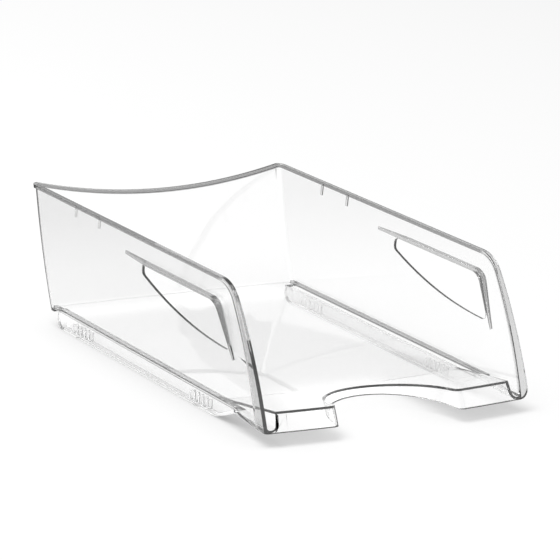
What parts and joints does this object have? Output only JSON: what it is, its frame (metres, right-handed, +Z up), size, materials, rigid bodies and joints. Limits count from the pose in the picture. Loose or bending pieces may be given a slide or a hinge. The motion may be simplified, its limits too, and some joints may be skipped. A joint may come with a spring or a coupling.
{
  "type": "letter tray",
  "caption": "Clear stackable letter tray with leaning back wall, side grip holes, hollow runners and a finger notch in its raised front edge.",
  "frame": {"origin": "on the table under the middle of the tray, midway between the foot of the front lips and the rear edge of the rim", "axes": "+X to the tray's right seen from its open front, +Y towards its back wall, +Z up"},
  "size_m": [0.2666, 0.3878, 0.1185],
  "materials": {
    "clear_polystyrene": "polished clear moulding"
  },
  "bodies": {
    "root": {"back_top_rim": "clear_polystyrene", "back_wall": "clear_polystyrene", "floor_panel": "clear_polystyrene", "front_apron": "clear_polystyrene", "left_front_edge_band": "clear_polystyrene", "left_front_gutter": "clear_polystyrene", "left_front_lip": "clear_polystyrene", "left_grip_collar": "clear_polystyrene", "left_rim_ribs": "clear_polystyrene", "left_runner": "clear_polystyrene", "left_runner_ribs": "clear_polystyrene", "left_side_wall": "clear_polystyrene", "left_stacking_ledge": "clear_polystyrene", "left_top_rim": "clear_polystyrene", "notch_skirt": "clear_polystyrene", "right_front_edge_band": "clear_polystyrene", "right_front_gutter": "clear_polystyrene", "right_front_lip": "clear_polystyrene", "right_grip_collar": "clear_polystyrene", "right_rim_ribs": "clear_polystyrene", "right_runner": "clear_polystyrene", "right_runner_ribs": "clear_polystyrene", "right_side_wall": "clear_polystyrene", "right_stacking_ledge": "clear_polystyrene", "right_top_rim": "clear_polystyrene"}
  },
  "joints": []
}
